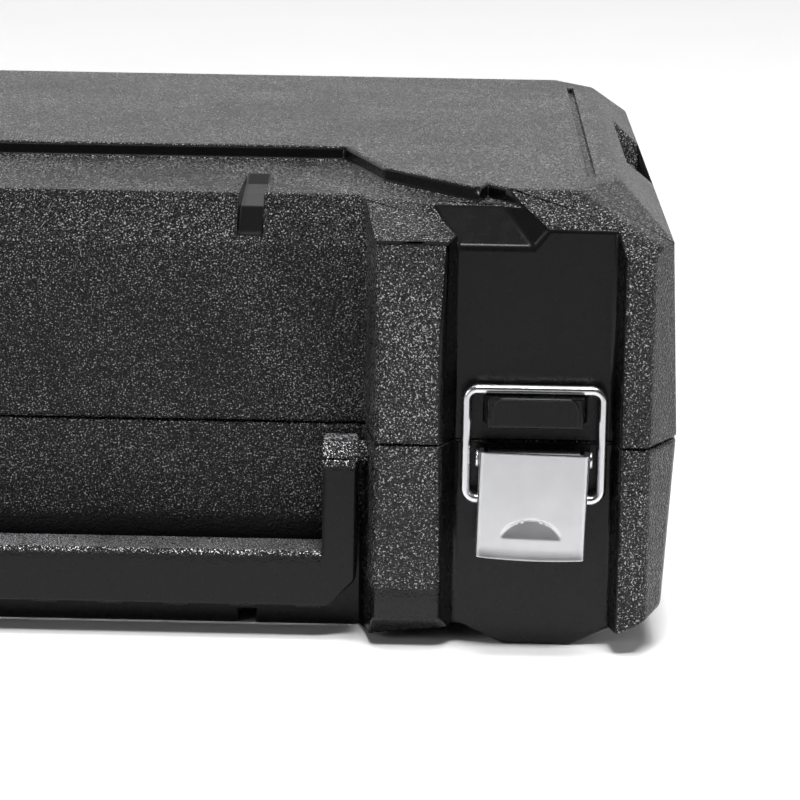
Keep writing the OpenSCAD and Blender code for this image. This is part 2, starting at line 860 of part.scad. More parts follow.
module ratchet_cover() {
  color("#c4c6c9") at_ratchet() difference() {
    translate([0, 0, 5.4]) cylinder(h = 2.4, r = 15.5);
    translate([0, 0, 5]) cylinder(h = 5, r = 5.1);
    translate([pawl_x, 0, 0]) cylinder(h = 14, r = 5.9);
    for (a = [90, 180, 270])
      rotate([0, 0, a]) translate([11.5, 0, 5]) cylinder(h = 5, r = 1.3);
  }
}

module ratchet_cover_screws() {
  color("#5d5f63") at_ratchet() for (a = [90, 180, 270])
    rotate([0, 0, a]) translate([11.5, 0, 5.4]) difference() {
      union() {
        cylinder(h = 2.4, r = 1.3);
        translate([0, 0, 2.4]) cylinder(h = 0.8, r = 2.4);
      }
      translate([-2, -0.3, 2.6]) cube([4, 0.6, 2]);
    }
}

module ratchet_button() {
  color("#b9bbbe") at_ratchet() {
    translate([0, 0, -11.5]) cylinder(h = 20, r = 2.6);
    translate([0, 0, 8.2]) cylinder(h = 2.6, r = 4.8);
  }
}

module ratchet_ball() {
  color("silver") at_ratchet() translate([0, -4.9, -14.5]) sphere(r = 1.85);
}

// Extensions and sliding bar

module extension(l) {
  difference() {
    union() {
      rotate([0, 90, 0]) rotate_extrude() polygon([
        [0, 0], [10.2, 0], [11, 0.8], [11, 22], [6.5, 30], [6.5, l - 20], [8.5, l - 17],
        [8.5, l - 13], [0, l - 13]]);
      block(l - 14, l, -6.3, 6.3, -6.3, 6.3);
    }
    block(-1, 15.5, -drive / 2, drive / 2, -drive / 2, drive / 2);
    translate([l - 6, 0, 4]) cylinder(h = 4, r = 1.9);
  }
}

module at_long() {
  at_case() translate([t_bar_x - long_bar / 2, extension_y, extension_z]) children();
}

module at_short() {
  at_case() translate([short_x, short_y + short_bar, extension_z]) rotate([0, 0, -90]) children();
}

module extension_long() {
  color("#c9cbce") at_long() extension(long_bar);
}

module extension_short() {
  color("#c9cbce") at_short() extension(short_bar);
}

module extension_balls() {
  color("silver") {
    at_long() translate([long_bar - 6, 0, 5.9]) sphere(r = 1.85);
    at_short() translate([short_bar - 6, 0, 5.9]) sphere(r = 1.85);
  }
}

module t_bar() {
  half = long_bar / 2;
  color("#c9cbce") at_case() translate([t_bar_x, t_bar_y, t_bar_z])
    rotate([0, 90, 0]) rotate_extrude() polygon([
      [0, -half], [7.4, -half], [8, 0.6 - half], [8, 3 - half], [6, 4 - half], [6, half - 4],
      [8, half - 3], [8, half - 0.6], [7.4, half], [0, half]]);
}

module t_bar_slider() {
  color("#c9cbce") at_case() translate([t_bar_x, t_bar_y, t_bar_z]) difference() {
    union() {
      translate([0, 0, -12]) cylinder(h = 24, r = 12.5);
      block(-6.3, 6.3, -6.3, 6.3, -25, -11);
    }
    rod_x(6.06, -20, 20);
    rod_y(1.9, -8, 0, 0, -18.5);
  }
}

module t_bar_ball() {
  color("silver") at_case() translate([t_bar_x, t_bar_y - 4.9, t_bar_z - 18.5]) sphere(r = 1.85);
}

module at_latch(side) {
  translate([side * latch_x, 0, 0]) children();
}

module latch_lever(side) {
  color("#c8c9cc") at_case() at_latch(side) lever();
}

module latch_bail(side) {
  color("#b4b6ba") at_case() at_latch(side) bail();
}

module latch_pin(side) {
  color("#9fa1a5") at_case() at_latch(side) pivot_pin();
}

base_shell();
tray_front();
tray_bars();
tray_deep();
tray_sockets();
tray_side();
tray_dividers();
lid_shell();
lid_liner();
hinge_pins();
carry_handle();
latch_lever(-1);  // latch_left_lever
latch_bail(-1);  // latch_left_bail
latch_pin(-1);  // latch_left_pin
latch_lever(1);  // latch_right_lever
latch_bail(1);  // latch_right_bail
latch_pin(1);  // latch_right_pin
ratchet_handle();
ratchet_grip();
ratchet_gear();
ratchet_pawl();
ratchet_cover();
ratchet_cover_screws();
ratchet_lever();
ratchet_button();
ratchet_ball();
extension_long();
extension_short();
extension_balls();
t_bar();
t_bar_slider();
t_bar_ball();
plug_socket();
plug_socket_insert();
drive_adapter();
for (i = [0 : len(small_sizes) - 1])
  shallow_socket(small_sizes, i, small_y);
for (i = [0 : len(large_sizes) - 1])
  shallow_socket(large_sizes, i, large_y);
for (i = [0 : len(deep_sizes) - 1])
  deep_socket(i);
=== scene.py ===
"""Looks of a socket wrench set in a hard carrying case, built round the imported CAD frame."""

import math

import bmesh
import bpy
from mathutils import Matrix, Vector


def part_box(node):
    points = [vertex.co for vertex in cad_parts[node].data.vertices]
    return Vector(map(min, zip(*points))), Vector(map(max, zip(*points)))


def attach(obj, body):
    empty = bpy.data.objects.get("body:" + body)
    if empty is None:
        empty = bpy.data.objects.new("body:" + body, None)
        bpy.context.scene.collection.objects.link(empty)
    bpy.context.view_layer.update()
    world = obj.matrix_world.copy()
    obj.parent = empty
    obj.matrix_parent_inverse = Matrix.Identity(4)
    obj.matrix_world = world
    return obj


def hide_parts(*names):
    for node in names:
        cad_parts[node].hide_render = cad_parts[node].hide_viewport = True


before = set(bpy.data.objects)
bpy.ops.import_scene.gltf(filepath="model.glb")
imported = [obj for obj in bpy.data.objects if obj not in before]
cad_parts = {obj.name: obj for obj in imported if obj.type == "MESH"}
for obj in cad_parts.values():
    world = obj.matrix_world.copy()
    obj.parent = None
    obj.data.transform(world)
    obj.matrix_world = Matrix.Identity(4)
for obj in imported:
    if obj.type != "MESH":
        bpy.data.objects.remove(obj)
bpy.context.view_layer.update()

MM = 0.001
scene = bpy.context.scene

# Places that several pieces share, in the frame's own axes (metres)
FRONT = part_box("base_shell")[0].y
SEAM = 0.5 * (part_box("base_shell")[1].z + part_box("lid_liner")[0].z) - 2.1 * MM
LEVER_LOW, LEVER_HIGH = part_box("latch_right_lever")
LATCH_X = 0.5 * (LEVER_LOW.x + LEVER_HIGH.x)


# ---------------------------------------------------------------- node helpers

class Nodes:
    """A small wrapper that builds one material's node tree."""

    def __init__(self, name):
        self.material = bpy.data.materials.new(name)
        self.material.use_nodes = True
        self.tree = self.material.node_tree
        self.tree.nodes.clear()
        self.output = self.add("ShaderNodeOutputMaterial")
        self.shader = self.add("ShaderNodeBsdfPrincipled")
        self.link(self.shader.outputs[0], self.output.inputs["Surface"])
        self.place = self.add("ShaderNodeTexCoord").outputs["Object"]

    def add(self, kind, **values):
        node = self.tree.nodes.new(kind)
        for key, value in values.items():
            setattr(node, key, value)
        return node

    def link(self, source, target):
        self.tree.links.new(source, target)

    def stretched(self, scale):
        node = self.add("ShaderNodeMapping")
        node.inputs["Scale"].default_value = scale
        self.link(self.place, node.inputs["Vector"])
        return node.outputs["Vector"]

    def noise(self, scale, detail=3.0, rough=0.5, vector=None):
        node = self.add("ShaderNodeTexNoise")
        node.inputs["Scale"].default_value = scale
        node.inputs["Detail"].default_value = detail
        node.inputs["Roughness"].default_value = rough
        self.link(vector or self.place, node.inputs["Vector"])
        return node.outputs["Fac"]

    def cells(self, scale, smooth=0.6, vector=None):
        node = self.add("ShaderNodeTexVoronoi", feature="SMOOTH_F1")
        node.inputs["Scale"].default_value = scale
        node.inputs["Smoothness"].default_value = smooth
        self.link(vector or self.place, node.inputs["Vector"])
        return node.outputs["Distance"]

    def ramp(self, value, points):
        node = self.add("ShaderNodeValToRGB")
        elements = node.color_ramp.elements
        while len(elements) < len(points):
            elements.new(0.5)
        for element, (position, colour) in zip(elements, points):
            element.position = position
            element.color = (*colour, 1.0)
        self.link(value, node.inputs["Fac"])
        return node.outputs["Color"]

    def math(self, operation, a, b):
        node = self.add("ShaderNodeMath", operation=operation)
        for socket, value in zip(node.inputs, (a, b)):
            if isinstance(value, (int, float)):
                socket.default_value = value
            else:
                self.link(value, socket)
        return node.outputs[0]

    def span(self, value, start, end):
        node = self.add("ShaderNodeMapRange")
        node.inputs["To Min"].default_value = start
        node.inputs["To Max"].default_value = end
        self.link(value, node.inputs["Value"])
        return node.outputs["Result"]

    def bump(self, height, distance, strength=1.0):
        node = self.add("ShaderNodeBump")
        node.inputs["Distance"].default_value = distance
        node.inputs["Strength"].default_value = strength
        self.link(height, node.inputs["Height"])
        self.link(node.outputs["Normal"], self.shader.inputs["Normal"])

    def set(self, **values):
        for key, value in values.items():
            socket = self.shader.inputs[key.replace("_", " ")]
            if isinstance(value, (int, float, tuple)):
                socket.default_value = value
            else:
                self.link(value, socket)


def grey(level, tint=0.0):
    return (level, level, level * (1 + tint))


# ---------------------------------------------------------------- materials

def rise(n, axis, low, high):
    """Goes from 0 to 1 between two places along an axis, in mm; X counts from the middle."""
    split = n.add("ShaderNodeSeparateXYZ")
    n.link(n.place, split.inputs[0])
    place = split.outputs[axis]
    if axis == "X":
        place = n.math("ABSOLUTE", place, 0.0)
    step = n.add("ShaderNodeMapRange", interpolation_type="SMOOTHSTEP")
    step.inputs["From Min"].default_value = low * MM
    step.inputs["From Max"].default_value = high * MM
    n.link(place, step.inputs["Value"])
    return step.outputs["Result"]


def handle_tops(n):
    """1 on the top of the grip and on the tops of the legs, where the moulded pebble and its
    painted highlight go, 0 on the rest of the handle.
    """
    grip = n.math("MULTIPLY", rise(n, "Z", 18.5, 23), rise(n, "X", 80.2, 79.8))
    return n.math("MAXIMUM", grip, rise(n, "Z", 43, 46.5))


def pebbled_plastic(name, level, grain, depth, rough, mask=None, shine=0.3, glint=0.13):
    """Black moulded plastic with a fine pebble whose bright speckle is a painted highlight (painted
    glints), smooth where mask() is 0.
    """
    n = Nodes(name)
    pebbles = n.cells(grain, 0.15)
    wobble = n.noise(grain * 0.9, 2.0)
    broad = n.noise(grain * 0.22, 2.0)
    height = n.math("ADD", n.math("MULTIPLY", pebbles, -1.0), wobble)
    height = n.math("ADD", height, n.math("MULTIPLY", broad, 0.8))
    if mask:
        fade = mask(n)
        height = n.math("MULTIPLY", height, fade)
    n.bump(height, depth)
    clouds = n.span(n.noise(38, 3.0), 0.92, 1.08)
    painted_glints = n.math("MULTIPLY", n.noise(grain * 1.3, 2.0, 0.6), clouds)
    if mask:
        painted_glints = n.math("MULTIPLY", painted_glints, fade)
    # Painted highlight: the pebble's bright speckle is glints painted into the base colour.
    n.set(Base_Color=n.ramp(painted_glints, [(0.5, grey(level)), (0.56, grey(glint * 0.2, 0.03)),
                                     (0.61, grey(glint, 0.03)), (0.66, grey(glint * 4.0, 0.03))]))
    n.set(Roughness=n.span(n.noise(grain * 0.6, 2.0), rough - 0.1, rough + 0.1))
    n.set(Specular_IOR_Level=shine)
    return n.material


def smooth_plastic(name, level, rough):
    """Black moulded plastic as it leaves a polished mould, with faint flow marks."""
    n = Nodes(name)
    flow = n.noise(60, 4.0, vector=n.stretched((1, 1, 0.25)))
    fine = n.noise(900, 3.0)
    n.bump(n.math("ADD", flow, n.math("MULTIPLY", fine, 0.08)), 0.00012, 0.5)
    n.set(Base_Color=n.ramp(flow, [(0.3, grey(level * 0.85)), (0.7, grey(level * 1.15, 0.05))]))
    n.set(Roughness=n.span(n.noise(300, 4.0), rough - 0.05, rough + 0.07))
    n.set(Specular_IOR_Level=0.24)
    return n.material


def zinc_sheet(name, level, rough):
    """Bright zinc plated sheet with a faint rolling grain."""
    n = Nodes(name)
    rolled = n.noise(420, 4.0, vector=n.stretched((1, 1, 0.04)))
    cloud = n.noise(120, 4.0)
    n.bump(n.math("ADD", rolled, n.math("MULTIPLY", n.noise(1500, 2.0), 0.3)), 0.00002, 0.6)
    n.set(Base_Color=n.ramp(cloud, [(0.3, grey(level * 0.93, 0.02)),
                                    (0.7, grey(level * 1.03, 0.03))]))
    n.set(Metallic=1.0, Roughness=n.span(cloud, rough - 0.05, rough + 0.08))
    return n.material


def chrome(name, level, rough, scratch):
    """Plated steel, satin to bright, with fine handling marks."""
    n = Nodes(name)
    marks = n.noise(700, 5.0, vector=n.stretched((1, 0.2, 1)))
    cloud = n.noise(55, 3.0)
    n.bump(marks, scratch, 0.5)
    n.set(Base_Color=n.ramp(cloud, [(0.3, grey(level * 0.95, 0.015)), (0.7, grey(level, 0.02))]))
    n.set(Metallic=1.0, Roughness=n.span(marks, rough * 0.7, rough * 1.35))
    return n.material


def rubber(name, level, grain):
    """Moulded grip rubber with a dense matt grain."""
    n = Nodes(name)
    n.bump(n.math("ADD", n.cells(grain, 0.5), n.noise(grain * 2, 2.0)), 0.00012, 0.8)
    n.set(Base_Color=n.ramp(n.noise(90, 3.0), [(0.3, grey(level * 0.8)), (0.7, grey(level * 1.2))]))
    n.set(Roughness=n.span(n.noise(500, 2.0), 0.55, 0.75), Specular_IOR_Level=0.35)
    return n.material


def floor_material():
    """A pale matt surface, faintly clouded."""
    n = Nodes("pale_floor")
    n.set(Base_Color=n.ramp(n.noise(6, 3.0), [(0.3, grey(0.9)), (0.7, grey(0.915))]))
    n.set(Roughness=0.75, Specular_IOR_Level=0.2)
    return n.material


PEBBLE = pebbled_plastic("case_pebble", 0.005, 1750, 0.00034, 0.27)
# Painted shade: a darker, less shiny copy of the case pebble with weaker painted glints, for the
# lid's front band and the sides of lid and base.
PEBBLE_PAINTED_SHADE = pebbled_plastic("case_pebble_painted_shade", 0.004, 1750, 0.0003, 0.3, shine=0.2, glint=0.08)
PEBBLE_FADED = pebbled_plastic("case_pebble_faded", 0.005, 1750, 0.00034, 0.27,
                               lambda n: rise(n, "Z", 10, 17))
# Painted shade and painted shadow: a darker copy of the case pebble for the base's front panel. Its
# pebble and glints fade out between 31 and 17 mm above the floor into the painted shadow behind the
# handle.
PANEL_PAINTED_SHADOW = pebbled_plastic("case_panel_painted_shadow", 0.004, 1750, 0.0003, 0.3,
                        lambda n: rise(n, "Z", 17, 31), shine=0.2, glint=0.075)
# The pebble on the tops of the grip and the legs is moulded; its strong bright speckle there is a
# painted highlight where light falls on the tops.
HANDLE = pebbled_plastic("handle_plastic", 0.0055, 1900, 0.00028, 0.3, handle_tops, shine=0.22,
                         glint=0.3)
SMOOTH = smooth_plastic("case_smooth", 0.005, 0.26)
TRAY = pebbled_plastic("tray_fine_grain", 0.02, 2400, 0.00006, 0.45, glint=0.03)
ZINC = zinc_sheet("latch_zinc", 0.62, 0.33)
WIRE = zinc_sheet("wire_zinc", 0.72, 0.22)
CHROME = chrome("tool_chrome", 0.86, 0.24, 0.000015)
STEEL = chrome("hard_steel", 0.42, 0.3, 0.00003)
RUBBER = rubber("grip_rubber", 0.02, 1300)


# ---------------------------------------------------------------- mesh helpers

def new_piece(name, bm, materials, body, slot, *nodes, smooth_angle=35):
    """Turns a bmesh into a named piece that rides on a body and may stand for CAD nodes."""
    mesh = bpy.data.meshes.new(name)
    bm.normal_update()
    bm.to_mesh(mesh)
    bm.free()
    for material in materials:
        mesh.materials.append(material)
    piece = bpy.data.objects.new(name, mesh)
    scene.collection.objects.link(piece)
    mesh.shade_smooth()
    if smooth_angle:
        mesh.set_sharp_from_angle(angle=math.radians(smooth_angle))
    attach(piece, body)
    if nodes:
        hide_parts(*nodes)
    return piece


def cad_mesh(node, merge=0.004, flat=0.6):
    """The CAD node's surface as n-gons, in a bmesh of its own."""
    bm = bmesh.new()
    bm.from_mesh(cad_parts[node].data)
    for face in bm.faces:
        face.material_index = 0
    bmesh.ops.remove_doubles(bm, verts=bm.verts, dist=merge * MM)
    bmesh.ops.dissolve_degenerate(bm, dist=merge * MM, edges=bm.edges)
    if flat:
        bmesh.ops.dissolve_limit(bm, angle_limit=math.radians(flat), verts=bm.verts,
                                 edges=bm.edges)
    return bm


def room(edge):
    """The widest rounding, in mm, that the faces beside an edge have room for."""
    limit = 99.0
    for vert in edge.verts:
        along = (edge.other_vert(vert).co - vert.co).normalized()
        for other in vert.link_edges:
            if other is edge or not set(other.link_faces) & set(edge.link_faces):
                continue
            run = other.other_vert(vert).co - vert.co
            if run.length < 1e-9:
                continue
            across = along.cross(run.normalized()).length
            if across > 0.3:
                limit = min(limit, 0.46 * run.length * across / MM)
    return limit


def is_curved(face, angle):
    """Whether a face is one facet of a tessellated curve."""
    soft = [edge for edge in face.edges if len(edge.link_faces) == 2
            and math.radians(1) < edge.calc_face_angle(0) < angle]
    return len(soft) > 1 and face.calc_area() < 150 * MM * MM


def keep_planes_flat(mesh, normals):
    """Shades rounded edges softly, and lets them run into the flat faces without a seam."""
    planes = mesh.attributes["plane"].data
    corner_normals = [corner.vector.copy() for corner in mesh.corner_normals]
    flat_at = {}
    for polygon in mesh.polygons:
        plane = planes[polygon.index].value
        flat = plane and polygon.normal.dot(normals[plane - 1]) > 0.9999
        polygon.use_smooth = not flat
        if flat:
            for vert in polygon.vertices:
                flat_at.setdefault(vert, []).append(polygon.normal.copy())
    for polygon in mesh.polygons:
        for loop, vert in zip(polygon.loop_indices, polygon.vertices):
            if not polygon.use_smooth:
                corner_normals[loop] = polygon.normal.copy()
                continue
            nearest = max(flat_at.get(vert, ()), key=polygon.normal.dot, default=None)
            if nearest and polygon.normal.dot(nearest) > 0.6:
                corner_normals[loop] = nearest
    mesh.normals_split_custom_set(corner_normals)


def moulded(node, name, materials, body, slot, radius, pick=None, widest=3.0, angle=12,
            least=0.25, segments=4):
    """A copy of a CAD node with its edges rounded by radius(), in mm, less where room is short.

    A negative radius is kept as it is, whatever the room.
    """
    bm = cad_mesh(node, 0.05)
    angle = math.radians(angle)
    plane = bm.faces.layers.int.new("plane")
    normals = []
    for face in bm.faces:
        if pick:
            face.material_index = pick(face)
        normals.append(face.normal.copy())
        face[plane] = 0 if is_curved(face, angle) else len(normals)
    weights = bm.edges.layers.float.new("bevel_weight_edge")
    for edge in bm.edges:
        if len(edge.link_faces) != 2 or edge.calc_face_angle(0) < angle:
            continue
        wanted = radius(edge)
        if wanted:
            fits = -wanted if wanted < 0 else min(wanted, max(room(edge), least))
            edge[weights] = min(1.0, fits / widest)
        else:
            edge.smooth = False
    piece = new_piece(name, bm, materials, body, slot, node, smooth_angle=None)
    rounding = piece.modifiers.new("rounding", "BEVEL")
    rounding.width = widest * MM
    rounding.segments = segments
    rounding.limit_method = "WEIGHT"
    rounding.use_clamp_overlap = False
    rounding.miter_outer = "MITER_SHARP"
    graph = bpy.context.evaluated_depsgraph_get()
    piece.data = bpy.data.meshes.new_from_object(piece.evaluated_get(graph))
    piece.modifiers.clear()
    keep_planes_flat(piece.data, normals)


# ---------------------------------------------------------------- case

def local(point):
    """A point in case coordinates, in mm: |x|, depth behind the front, height over the seam."""
    return abs(point.x) / MM, (point.y - FRONT) / MM, (point.z - SEAM) / MM


def lid_zone(face):
    """0 pebbled, 1 smooth, 2 the pebble with painted shade, on the lid's front band and the sides.
    """
    x, y, z = local(face.calc_center_median())
    n = face.normal
    latch_bay = 110 < x < 154.8 and y < 9.6
    hinge_barrel = y > 280.3
    groove = (56 < x < 64 and 20 < y < 70 and z > 44
              and (abs(n.x) < 0.999 or abs(x - 60) < 3.5))
    channel = 100 < x < 136 and y < 31 and z > 48 and n.z > 0.3 and n.y < -0.4
    plateau_step = y < 95 and z > 58 and abs(n.z) < 0.2
    if latch_bay or hinge_barrel or groove or channel or plateau_step:
        return 1
    # Painted shade: the front band and the sides get the darker copy of the pebble.
    painted_shade_front = x < 90 and y < 40 and z < 56 and n.y < -0.7
    painted_shade_side = x > 160 and abs(n.x) > 0.8
    return 2 if painted_shade_front or painted_shade_side else 0


def base_zone(face):
    """0 pebbled, 1 smooth, 2 smooth near the floor, 3 the panel with painted shade and a painted
    shadow behind the handle, 4 the sides with painted shade.
    """
    x, y, _ = local(face.calc_center_median())
    latch_bay = 110 < x < 154.8 and y < 31
    hinge_barrel = y > 280.3
    if latch_bay or hinge_barrel:
        return 1
    # Painted shade and shadow: the panel behind the handle gets its own darker, fading copy of the
    # pebble.
    if x < 111 and y < 40:
        return 3 if x < 90 else 2
    # Painted shade: the sides get the darker copy of the pebble.
    return 4 if x > 160 and abs(face.normal.x) > 0.8 else 0


def edge_span(edge):
    """The middle of an edge, and how far it runs along each axis, in mm."""
    a, b = (local(v.co) for v in edge.verts)
    middle = [0.5 * (p + q) for p, q in zip(a, b)]
    run = [abs(p - q) for p, q in zip(a, b)]
    return middle, run


def shell_radius(edge):
    """How far each edge of the lid or the base is rounded, in mm."""
    length = edge.calc_length() / MM
    (x, y, z), run = edge_span(edge)
    hinge = y > 272 and abs(z) < 8 and 74 < x < 126 and length < 60
    in_cavity = y > 29 and abs(z) < 56 and x < 166.5 and y < 277.5
    rear_corner = in_cavity and x > 150 and y > 265
    if length < 2.4 or hinge or rear_corner:
        return 0.0
    under_plateau = z > 45.5 and y < 70 and x > 50
    if in_cavity and not under_plateau:
        return 0.6
    pin_block = 111 < x < 157 and -10 < z < 0.5 and y < 9.5
    if pin_block:
        return 0.4
    hook = 115 < x < 150 and 0 < z < 16 and y < 9.2
    if hook:
        return 1.2 if run[1] > 0.8 * length and z > 12 else 0.8
    vertical = run[2] > 0.8 * length
    pilaster = y < 4 and 92 < x < 111
    if vertical and pilaster:
        return -2.0
    if vertical and x > 155 and not in_cavity:
        return 2.0
    groove = 55 < x < 65 and 20 < y < 70
    return 0.7 if groove else 1.2


moulded("lid_shell", "lid_shell_moulded", [PEBBLE, SMOOTH, PEBBLE_PAINTED_SHADE], "lid", "case_plastic",
        shell_radius, lid_zone)
moulded("base_shell", "base_shell_moulded", [PEBBLE, SMOOTH, PEBBLE_FADED, PANEL_PAINTED_SHADOW, PEBBLE_PAINTED_SHADE],
        "case", "case_plastic", shell_radius, base_zone)


def handle_radius(edge):
    """How far each edge of the handle is rounded, in mm, most along the top of the grip."""
    length = edge.calc_length() / MM
    (x, y, z), run = edge_span(edge)
    on_stud = x > 88.8
    if length < 3.2 or on_stud:
        return 0.0
    if run[0] > 0.8 * length and z > -35:
        return 3.0 if y < 15 else 1.5
    return 1.0


moulded("carry_handle", "carry_handle_moulded", [HANDLE], "handle", "handle_plastic",
        handle_radius)


# ---------------------------------------------------------------- latches

def grid(bm, rows):
    """Quads between rows of points that all have the same number of points."""
    verts = [[bm.verts.new(point) for point in row] for row in rows]
    for low_row, high_row in zip(verts, verts[1:]):
        for a, b, c, d in zip(low_row, low_row[1:], high_row[1:], high_row):
            bm.faces.new((a, b, c, d))
    return verts


def lever_depth(z):
    """How far the side flanges of a lever reach back from its front, in mm."""
    steps = [(-1.5, 5.6), (-4, 7.6), (-16, 7.6), (-26, 2.6), (-29, 1.7)]
    for (z0, d0), (z1, d1) in zip(steps, steps[1:]):
        if z >= z1:
            return d0 + (d1 - d0) * max(0.0, (z0 - z) / (z0 - z1))
    return steps[-1][1]


def dimple_depth(x, z):
    """The half-moon thumb catch, deepest under its arc and flush at its straight lower side."""
    up = (z + 23.2) / 4.9
    if up <= 0:
        return 0.0
    inside = 1 - math.hypot(x / 7.8, up)
    wall = min(1.0, max(0.0, inside / 0.1))
    return 0.95 * wall * wall * (3 - 2 * wall) * up ** 0.8


def lever_piece(side, sign):
    """The sheet metal lever, bent back along both sides, hanging a little askew.

    Its half width, corner radius, front, top and lower end are in mm from the seam and the front.
    """
    half, corner, front = 13.8, 1.5, -1.5
    top, end = -1.5, -28.4
    askew = math.radians(1.3)
    count, columns = 68, 72
    rows = []
    for i in range(count + 1):
        z = top + (end - top) * i / count
        depth = lever_depth(z)
        across = [(-half, depth - (depth - corner) * k / 4) for k in range(4)]
        for k in range(5):
            turn = math.radians(90 * k / 5)
            across.append((-half + corner * (1 - math.cos(turn)), corner * (1 - math.sin(turn))))
        flat_half = half - corner
        across += [(-flat_half + 2 * flat_half * k / columns, 0.0) for k in range(columns + 1)]
        across += [(-x, y) for x, y in reversed(across[:9])]
        row = []
        for x, y in across:
            bow = 0.55 * (1 - (x / half) ** 2) * (i / count) ** 6
            lip = -0.35 * max(0.0, (end + 3 - z) / 3) ** 2
            y += dimple_depth(x, z) + lip
            row.append((LATCH_X * sign + x * MM, FRONT + (front + y) * MM, SEAM + (z - bow) * MM))
        rows.append(row)
    bm = bmesh.new()
    grid(bm, rows)
    pivot = Vector((LATCH_X * sign, FRONT, SEAM - 3.5 * MM))
    bmesh.ops.rotate(bm, verts=bm.verts, cent=pivot,
                     matrix=Matrix.Rotation(askew, 3, "Y"))
    bmesh.ops.recalc_face_normals(bm, faces=bm.faces)
    middle = min(bm.faces, key=lambda f: (f.calc_center_median() - pivot).length)
    if middle.normal.y > 0:
        bmesh.ops.reverse_faces(bm, faces=bm.faces)
    piece = new_piece(f"latch_{side}_lever_sheet", bm, [ZINC], f"latch_{side}_lever",
                      "latch_steel", f"latch_{side}_lever", smooth_angle=50)
    sheet = piece.modifiers.new("sheet", "SOLIDIFY")
    sheet.thickness = 1.1 * MM
    sheet.offset = -1
    sheet.use_even_offset = True
    edge = piece.modifiers.new("edge", "BEVEL")
    edge.width = 0.2 * MM
    edge.segments = 2
    edge.angle_limit = math.radians(50)


def tube(bm, points, radius, sides=10):
    """A round wire along points, with open ends closed by a fan."""
    rings = []
    for i, point in enumerate(points):
        before = points[max(i - 1, 0)]
        after = points[min(i + 1, len(points) - 1)]
        along = (after - before).normalized()
        up = Vector((0, 1, 0))
        side = along.cross(up).normalized()
        rings.append([bm.verts.new(point + radius * (math.cos(t) * side + math.sin(t) * up))
                      for t in (2 * math.pi * k / sides for k in range(sides))])
    for low_ring, high_ring in zip(rings, rings[1:]):
        for k in range(sides):
            bm.faces.new((low_ring[k], low_ring[(k + 1) % sides],
                          high_ring[(k + 1) % sides], high_ring[k]))
    bm.faces.new(rings[0])
    bm.faces.new(list(reversed(rings[-1])))
    bmesh.ops.recalc_face_normals(bm, faces=bm.faces)


def hook_rim(side, sign):
    """The thin raised rim round the face of a hook."""
    half, low_z, high_z, corner = 10.6, 5.6, 12.4, 2.4
    points = [(-half, low_z)]
    for start, cx in ((180, -half + corner), (90, half - corner)):
        points += [(cx + corner * math.cos(math.radians(start - 15 * k)),
                    high_z - corner + corner * math.sin(math.radians(start - 15 * k)))
                   for k in range(7)]
    points.append((half, low_z))
    bm = bmesh.new()
    tube(bm, [Vector((LATCH_X * sign + x * MM, FRONT - 0.45 * MM, SEAM + z * MM))
              for x, z in points], 0.4 * MM)
    new_piece(f"hook_rim_{side}", bm, [SMOOTH], "lid", "case_plastic")


for latch_side, latch_sign in (("left", -1), ("right", 1)):
    lever_piece(latch_side, latch_sign)
    hook_rim(latch_side, latch_sign)
    moulded(f"latch_{latch_side}_pin", f"latch_{latch_side}_rivet", [WIRE], "case", "wire_steel",
            lambda edge: 0.35, widest=0.5, angle=40, segments=3)


# ---------------------------------------------------------------- tools

def ring_of_ridges(bm, centre, axis, radius, start, height, count, depth):
    """A knurled band: a thin toothed sleeve round an axis."""
    axis = Vector(axis)
    side = axis.orthogonal().normalized()
    other = axis.cross(side)
    inner_radius = radius - 0.6 * MM
    rows = []
    for along, r, wave in ((start, inner_radius, 0), (start, radius, 0),
                           (start + 0.4 * MM, radius, depth),
                           (start + height - 0.4 * MM, radius, depth),
                           (start + height, radius, 0), (start + height, inner_radius, 0)):
        row = []
        for k in range(2 * count + 1):
            turn = math.pi * (k % (2 * count)) / count
            reach = r + (wave if k % 2 else 0)
            row.append(centre + axis * along + reach * (math.cos(turn) * side
                                                        + math.sin(turn) * other))
        rows.append(row)
    grid(bm, rows)


def socket_piece(node, axis):
    """A socket with a knurled band round its drive end."""
    low_corner, high_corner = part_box(node)
    middle = 0.5 * (low_corner + high_corner)
    span = high_corner - low_corner
    if axis == (0, 0, 1):
        centre = Vector((middle.x, middle.y, low_corner.z))
        length = span.z
    else:
        centre = Vector((low_corner.x, middle.y, middle.z))
        length = span.x
    outer = 0.5 * span.y
    drive_radius = min(outer, 12 * MM)
    bm = cad_mesh(node, 0.004, flat=0)
    neck = 0.42 * length - (outer - drive_radius)
    ring_of_ridges(bm, centre, axis, drive_radius + 0.02 * MM, neck - 7.5 * MM, 5 * MM, 54,
                   0.22 * MM)
    bmesh.ops.remove_doubles(bm, verts=bm.verts, dist=0.002 * MM)
    new_piece(f"{node}_knurled", bm, [CHROME], "case", "tool_chrome", node, smooth_angle=28)


for socket_node in list(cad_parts):
    if socket_node.startswith("socket_"):
        socket_piece(socket_node, (0, 0, 1))
    elif socket_node.startswith("deep_socket_"):
        socket_piece(socket_node, (1, 0, 0))


